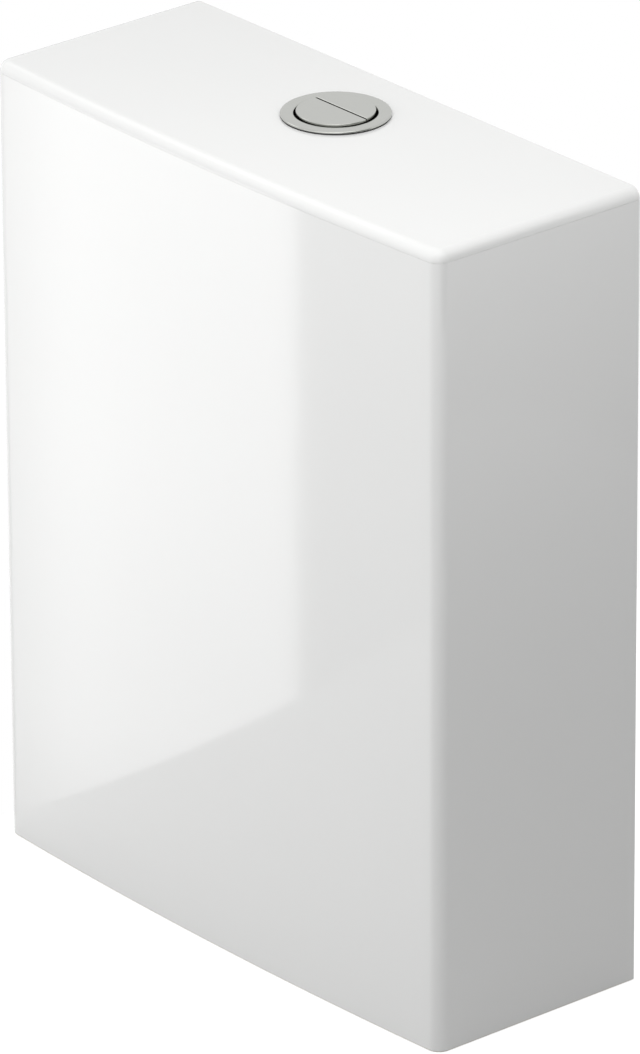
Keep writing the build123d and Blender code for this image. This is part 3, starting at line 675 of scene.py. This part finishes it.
def screw_groove(radius, depth, pitch, low, high, place, steps=THREAD_STEPS):
    """Cutter for a screw thread: a V swept up a helix, from one height to another."""
    outer = radius + THREAD_CLEAR_SHARE * depth
    half = THREAD_OPEN_SHARE * pitch / 2
    profile = [(outer, low), (radius - depth, low + half), (outer, low + 2 * half)]
    climb = high - low - 2 * half
    return coiled(profile, climb / pitch, climb, steps, place)


def copied(node):
    """A merged copy of a CAD node's mesh."""
    form = bmesh.new()
    form.from_mesh(frame["nodes"][node].data)
    bmesh.ops.remove_doubles(form, verts=form.verts, dist=MERGE)
    mesh = bpy.data.meshes.new(node)
    form.to_mesh(mesh)
    form.free()
    return mesh


# Where things stand, read from the frame

def middle(node):
    """Middle of a CAD node's box."""
    low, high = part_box(node)
    return (low + high) / 2


def foot_of(node):
    """Height of a CAD node's foot."""
    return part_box(node)[0].z


def head_of(node):
    """Height of a CAD node's head."""
    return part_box(node)[1].z


def radius_of(node):
    """Half the width of a CAD node's box."""
    low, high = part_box(node)
    return (high.x - low.x) / 2


tank_low, tank_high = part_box("tank")
lid_low, lid_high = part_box("lid")
VALVE_X = middle("button_bezel").x
VALVE_Y = middle("button_bezel").y
BEZEL_R = radius_of("button_bezel")
NECK_R = radius_of("button_guide")
BUTTON_R = radius_of("full_flush_button")
BORE_R = BUTTON_R + BUTTON_GAP


# Ceramic

def tank_mesh():
    """Tank: an open basin over a skirt, rounded at the front corners and sharp at the back."""
    form = bowed_block(tank_low, tank_high)
    half_x = tank_high.x
    top = inset(form, faces_facing(form, UP), WALL)
    pushed(form, top, (0, 0, FLOOR_LOW + FLOOR_T - tank_high.z))
    base = inset(form, faces_facing(form, DOWN, 0), WALL)
    pushed(form, base, (0, 0, FLOOR_LOW))
    bmesh.ops.recalc_face_normals(form, faces=form.faces)
    bevelled(form, corner_posts(form, half_x, True), CORNER_R, CORNER_STEPS)
    bevelled(form, corner_posts(form, half_x - WALL, False), INNER_CORNER_R, INNER_CORNER_STEPS)

    def inside(point):
        return abs(point.x) < half_x - WALL + MERGE and abs(point.y) < tank_high.y - WALL + MERGE

    def outside(point):
        return not inside(point)

    def loops(height, test):
        return folds(edges_where(form, lambda point: near(point.z, height) and test(point)))

    bevelled(form, loops(FLOOR_LOW + FLOOR_T, inside), FLOOR_FILLET, FILLET_STEPS)
    bevelled(form, loops(FLOOR_LOW, inside), FLOOR_FILLET, FILLET_STEPS)
    bevelled(form, loops(tank_high.z, inside), RIM_EDGE_R, RIM_STEPS)
    bevelled(form, loops(tank_high.z, outside), SEAM_EDGE_R, FINE_STEPS)
    bevelled(form, loops(0, outside), BASE_EDGE_R, FINE_STEPS)
    return mesh_of("tank_shell", form)


def wall_hole(x):
    """Cutter for a wall screw's hole, through the back wall."""
    screw = disc(WALL_HOLE_R, -WALL, WALL)
    turn = Matrix.Rotation(math.pi / 2, 3, "X")
    bmesh.ops.rotate(screw, cent=(0, 0, 0), matrix=turn, verts=screw.verts)
    bmesh.ops.translate(screw, vec=(x, tank_high.y - WALL / 2, WALL_HOLE_Z), verts=screw.verts)
    return screw


def tank_holes():
    """Cutters for the outlet, bolts, inlets and wall screws, and for the lid pads' seats."""
    low = FLOOR_LOW - OVERRUN
    high = FLOOR_LOW + FLOOR_T + OVERRUN
    inlet_x = middle("plug_washer").x
    cutters = [disc(OUTLET_HOLE_R, low, high, VALVE_X, VALVE_Y)]
    for side in (-1, 1):
        cutters.append(disc(BOLT_HOLE_R, low, high, side * BOLT_X, VALVE_Y))
        cutters.append(disc(INLET_HOLE_R, low, high, side * inlet_x, VALVE_Y))
        cutters.append(wall_hole(side * WALL_HOLE_X))
    pads_low, pads_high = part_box("lid_pads")
    seat_low, seat_high = tank_high.z - PAD_SEAT_T, tank_high.z + OVERRUN
    for x in (pads_low.x + PAD_R, pads_high.x - PAD_R):
        for y in (pads_low.y + PAD_R, pads_high.y - PAD_R):
            cutters.append(disc(PAD_R + PAD_GAP, seat_low, seat_high, x, y))
    return cutters


def lid_mesh():
    """Lid: its whole edge is the rounded top edge; a step and a rib drop into the tank."""
    edge_low = tank_high.z + SEAM_GAP
    form = bowed_block(Vector((lid_low.x, lid_low.y, edge_low)), lid_high)
    half_x = lid_high.x
    under = inset(form, faces_facing(form, DOWN, edge_low), WALL + LID_FIT)
    pushed(form, under, (0, 0, -LID_STEP_T))
    bmesh.ops.recalc_face_normals(form, faces=form.faces)
    step_low = edge_low - LID_STEP_T
    hollow = set(inset(form, faces_facing(form, DOWN, step_low), LID_RIB_T))
    rib = [face for face in faces_facing(form, DOWN, step_low) if face not in hollow]
    pushed(form, rib, (0, 0, -LID_RIB_H))
    bmesh.ops.recalc_face_normals(form, faces=form.faces)
    bevelled(form, corner_posts(form, half_x, True), CORNER_R, CORNER_STEPS)

    def at_back(edge):
        return all(near(vert.co.y, lid_high.y) for vert in edge.verts)

    def at_outline(edge):
        return all(abs(vert.co.x) > half_x - WALL or abs(vert.co.y) > lid_high.y - WALL
                   for vert in edge.verts)

    top = folds(edges_where(form, lambda point: near(point.z, lid_high.z)))
    bevelled(form, [edge for edge in top if not at_back(edge)], TOP_EDGE_R, CORNER_STEPS)
    low = folds(edges_where(form, lambda point: near(point.z, edge_low)))
    bevelled(form, [edge for edge in low if at_outline(edge)], SEAM_EDGE_R, FINE_STEPS)
    return mesh_of("lid_shell", form)


def ceramic():
    """Tank and lid with their holes."""
    piece("tank_shell", cut(tank_mesh(), tank_holes()), "tank")
    low, high = lid_low.z - OVERRUN, lid_high.z + OVERRUN
    hole = disc(NECK_R + LID_HOLE_GAP, low, high, VALVE_X, VALVE_Y, TURN_STEPS)
    piece("lid_shell", cut(lid_mesh(), [hole]), "lid")


# Button

def button_ring():
    """Bezel with a rounded outer lip, a softened bore and a neck through the lid."""
    low, high = foot_of("button_bezel"), head_of("button_bezel")
    lip = head_of("bezel_gasket")
    outline = [(BORE_R, low), (NECK_R, low), (NECK_R, lip), (BEZEL_R, lip), (BEZEL_R, high),
               (BORE_R, high)]
    form = turned(outline, VALVE_X, VALVE_Y)
    outer_edge = ring_edges(form, BEZEL_R, high, VALVE_X, VALVE_Y)
    bevelled(form, outer_edge, BEZEL_EDGE_R, BEZEL_EDGE_STEPS)
    bore_edge = ring_edges(form, BORE_R, high, VALVE_X, VALVE_Y)
    bevelled(form, bore_edge, BEZEL_BORE_EDGE_R, BORE_EDGE_STEPS)
    thread_low, thread_high = low + THREAD_LEAD, foot_of("lid_lock_nut") - THREAD_LEAD
    place = Vector((VALVE_X, VALVE_Y, 0))
    depth = THREAD_SHARE * NECK_PITCH
    groove = screw_groove(NECK_R, depth, NECK_PITCH, thread_low, thread_high, place)
    piece("bezel_ring", cut(mesh_of("bezel_ring", form), [groove]), "button_bezel")


def rod_socket(rod, top):
    """Round boss that holds a push rod's head, with its foot open for the rod."""
    place = middle(rod)
    low = top - SOCKET_H
    bore_r = ROD_GAP + radius_of(rod)
    outline = [(0, low + ROD_HOLD), (bore_r, low + ROD_HOLD), (bore_r, low), (SOCKET_R, low),
               (SOCKET_R, top + OVERLAP), (0, top + OVERLAP)]
    form = turned(outline, place.x, place.y, HOLE_STEPS, closed=False)
    bevelled(form, ring_edges(form, SOCKET_R, low, place.x, place.y), SOCKET_EDGE_R, FINE_STEPS)
    return form


def button_segment(name, node, rod, front):
    """One segment of the split button: a flat top with a soft edge over a thin skirt."""
    low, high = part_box(node)
    form = bmesh.new()
    bmesh.ops.create_circle(form, cap_ends=True, segments=TURN_STEPS, radius=BUTTON_R)
    bmesh.ops.translate(form, vec=(VALVE_X, VALVE_Y, low.z), verts=form.verts)
    split = Vector((0, high.y if front else low.y, 0))
    geometry = form.verts[:] + form.edges[:] + form.faces[:]
    bmesh.ops.bisect_plane(form, geom=geometry, plane_co=split, plane_no=(0, 1, 0),
                           clear_outer=front, clear_inner=not front)
    raised(form, form.faces[:], (0, 0, high.z - low.z))
    bmesh.ops.recalc_face_normals(form, faces=form.faces)
    under = inset(form, faces_facing(form, DOWN), BUTTON_SKIRT_T)
    pushed(form, under, (0, 0, high.z - low.z - BUTTON_TOP_T))
    bmesh.ops.recalc_face_normals(form, faces=form.faces)
    rim = edges_where(form, lambda point: near(point.z, high.z))
    bevelled(form, rim, BUTTON_EDGE_R, BUTTON_EDGE_STEPS)
    piece(name, mesh_of(name, joined([form, rod_socket(rod, high.z - BUTTON_TOP_T)])), node)


def spring(name, node):
    """Helical wire under a button segment, on a mesh of its own."""
    low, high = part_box(node)
    place = middle(node)
    radius = high.x - place.x - SPRING_WIRE_R
    foot, head = low.z + SPRING_WIRE_R, high.z - SPRING_WIRE_R
    wire = []
    for side in range(WIRE_SIDES):
        way = 2 * math.pi * side / WIRE_SIDES
        wire.append((radius + SPRING_WIRE_R * math.cos(way), foot + SPRING_WIRE_R * math.sin(way)))
    form = coiled(wire, SPRING_TURNS, head - foot, SPRING_STEPS, place)
    made = piece(name, mesh_of(name, form), node)
    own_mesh(made)


def button():
    """The bezel, both segments and their springs."""
    button_ring()
    button_segment("front_segment", "full_flush_button", "full_push_rod", True)
    button_segment("rear_segment", "half_flush_button", "half_push_rod", False)
    spring("front_spring", "full_button_spring")
    spring("rear_spring", "half_button_spring")


# Screw threads

def fixings():
    """Screw threads on the bolts, the valves' tails, the plug and the push rods."""
    bolt_places = [Vector((side * BOLT_X, VALVE_Y, 0)) for side in (-1, 1)]
    low, high = foot_of("coupling_bolts") + THREAD_LEAD, foot_of("wing_nuts") - THREAD_LEAD
    grooves = [screw_groove(BOLT_R, BOLT_THREAD, BOLT_PITCH, low, high, place)
               for place in bolt_places]
    piece("screwed_bolts", cut(copied("coupling_bolts"), grooves), "coupling_bolts")
    for name, node, ring, radius, pitch in (
            ("screwed_tail", "flush_valve_base", "doughnut_gasket", TAIL_R, TAIL_PITCH),
            ("screwed_shank", "inlet_shank", "shank_nut", SHANK_R, SHANK_PITCH),
            ("screwed_plug", "blanking_plug", "plug_nut", SHANK_R, SHANK_PITCH)):
        low, high = foot_of(node) + THREAD_LEAD, foot_of(ring) - THREAD_LEAD
        groove = screw_groove(radius, THREAD_SHARE * pitch, pitch, low, high, middle(ring))
        piece(name, cut(copied(node), [groove]), node)
    depth = THREAD_SHARE * ROD_PITCH
    for name, node in (("front_rod", "full_push_rod"), ("rear_rod", "half_push_rod")):
        low, high = foot_of(node) + 2 * ROD_R, head_of(node) - ROD_HOLD
        groove = screw_groove(ROD_R, depth, ROD_PITCH, low, high, middle(node), ROD_THREAD_STEPS)
        piece(name, cut(copied(node), [groove]), node)


def dress_frame():
    """Gives each remaining CAD node its finish."""
    for name, node in frame["nodes"].items():
        node.data.materials.clear()
        node.data.materials.append(FINISHES[slots[name]])


# Studio

def from_corners(name, corners):
    """Flat four-sided sheet."""
    form = bmesh.new()
    form.faces.new([form.verts.new(corner) for corner in corners])
    return add_object(name, mesh_of(name, form))


def card(name, corners, radiance, mirrored, shape=None):
    """Glowing sheet that the camera doesn't see. A shape varies its glow over the sheet."""
    sheet = from_corners(name, corners)
    finish = surface(name + "_glow")
    glow = shape(finish) if shape else grey(1.0)
    finish.set(Base_Color=grey(0.0), Emission_Color=glow, Emission_Strength=radiance)
    sheet.data.materials.append(finish.material)
    sheet.visible_camera = False
    sheet.visible_glossy = mirrored


def box_shape(finish):
    """Glow of the softbox: full at its near edge, dimmer towards its foot and its far edge."""
    height = finish.along("Z")
    glow = BOX_FOOT_SHARE
    for low, high, share in BOX_RISES:
        glow = glow + height.above(low, high) * share
    across = finish.along("X").above(*BOX_FAR_EDGE)
    return glow * (BOX_FAR_SHARE + across * (1 - BOX_FAR_SHARE))


def softbox():
    """Tall softbox to the front left. Gloss on the cistern mirrors its lower part only."""
    away = Vector((-math.sin(BOX_AZIMUTH), -math.cos(BOX_AZIMUTH), 0))
    near_side = Vector((BOX_EDGE_X, tank_low.y, 0)) + away * BOX_DISTANCE
    far_side = near_side + Vector((math.cos(BOX_TURN), math.sin(BOX_TURN), 0)) * BOX_WIDTH
    foot, waist, head = (Vector((0, 0, height)) for height in BOX_LEVELS)
    for name, low, high, mirrored in (("softbox", foot, waist, True),
                                      ("softbox_head", waist, head, False)):
        corners = [far_side + low, near_side + low, near_side + high, far_side + high]
        card(name, corners, SOFTBOX, mirrored, box_shape)


def floor():
    """Pale floor that shows white to the camera and keeps the cistern's shadow."""
    (low_x, low_y), (high_x, high_y) = FLOOR_SPAN
    plan = [(low_x, low_y), (high_x, low_y), (high_x, high_y), (low_x, high_y)]
    ground = from_corners("floor", [(x, y, -FLOOR_DROP) for x, y in plan])
    finish = surface("pale_floor")
    finish.set(Base_Color=grey(FLOOR_SHADE), Roughness=FLOOR_ROUGHNESS, Specular_IOR_Level=0.0)
    finish.set(Emission_Color=finish.seen(), Emission_Strength=FLOOR_WHITE)
    ground.data.materials.append(finish.material)


def world():
    """Even light from above, less from below, and plain white where the camera looks at it."""
    studio = bpy.data.worlds.new("studio")
    finish = Finish(studio, "Background", "Generated")
    sky = SKY_LOW + finish.along("Z").above(*SKY_EDGE) * (SKY_HIGH - SKY_LOW)
    finish.set(Color=sky + finish.seen() * (1 - sky), Strength=1.0)
    bpy.context.scene.world = studio


def camera():
    """Camera at the photograph's viewing angle, distance and framing."""
    level = math.cos(VIEW_ELEVATION)
    back = Vector((math.sin(VIEW_AZIMUTH) * level, -math.cos(VIEW_AZIMUTH) * level,
                   math.sin(VIEW_ELEVATION)))
    right = Vector((math.cos(VIEW_AZIMUTH), math.sin(VIEW_AZIMUTH), 0))
    up = back.cross(right)
    rolled_right = math.cos(VIEW_ROLL) * right + math.sin(VIEW_ROLL) * up
    rolled_up = math.cos(VIEW_ROLL) * up - math.sin(VIEW_ROLL) * right
    aim = Vector((0, lid_high.y, lid_high.z / 2))
    place = aim + back * VIEW_DISTANCE + rolled_right * AIM_RIGHT + rolled_up * AIM_UP
    data = bpy.data.cameras.new("camera")
    data.lens = LENS
    data.sensor_width = SENSOR_WIDTH
    made = bpy.data.objects.new("camera", data)
    bpy.context.scene.collection.objects.link(made)
    turn = Matrix((rolled_right, rolled_up, back)).transposed()
    made.matrix_world = Matrix.Translation(place) @ turn.to_4x4()
    bpy.context.scene.camera = made


camera()
ceramic()
button()
fixings()
dress_frame()
floor()
world()
softbox()
for card_name, (card_corners, card_radiance, card_mirrored) in CARDS.items():
    card(card_name, card_corners, card_radiance, card_mirrored)

bpy.context.scene.view_settings.view_transform = "Standard"
